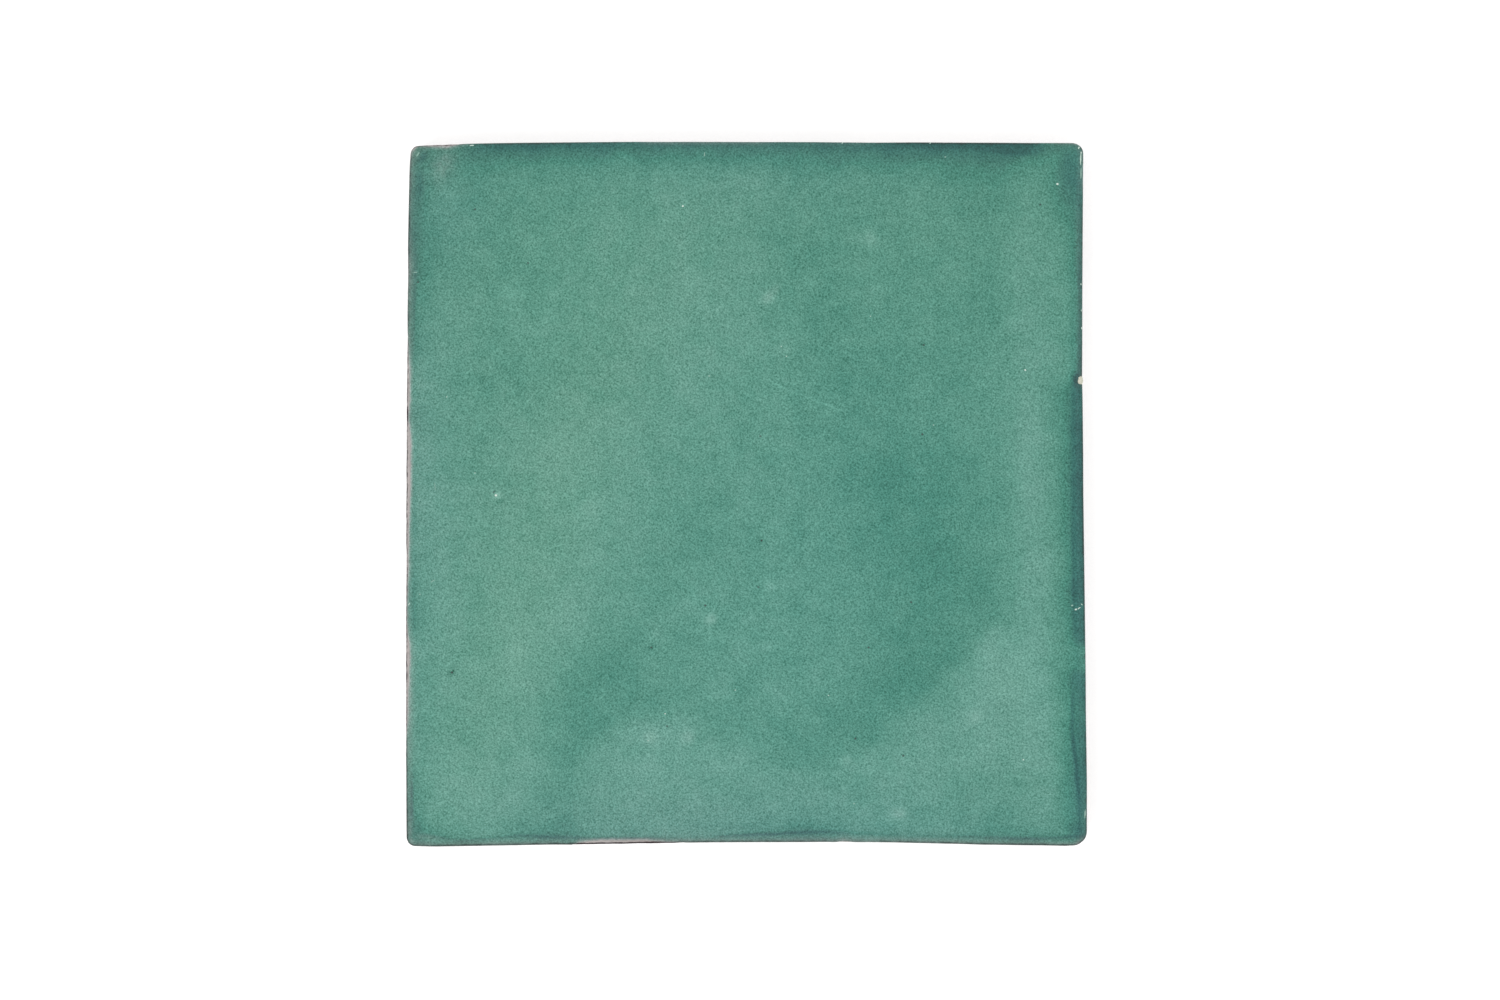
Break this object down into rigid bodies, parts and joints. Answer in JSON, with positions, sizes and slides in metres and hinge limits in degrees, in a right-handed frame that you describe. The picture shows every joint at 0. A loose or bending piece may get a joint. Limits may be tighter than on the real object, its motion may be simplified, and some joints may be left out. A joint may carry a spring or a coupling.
{
  "type": "ceramic tile",
  "caption": "Near-square handmade wall tile: a flat-backed fired clay slab with a gently uneven, rolled-edge green glaze on its face.",
  "frame": {"origin": "centre of the bounding box on the flat back", "axes": "+X across the tile to the right of its face, +Y up the face, along the longer side, +Z out through the glazed face"},
  "size_m": [0.1038, 0.1076, 0.0066],
  "materials": {
    "glazed_tile": "satin-gloss sea-green glaze that pools darker in hollows and along the edges, over pale pinkish bare clay at the lip, sides and back"
  },
  "bodies": {
    "root": {"glazed_tile": "glazed_tile"}
  },
  "joints": []
}
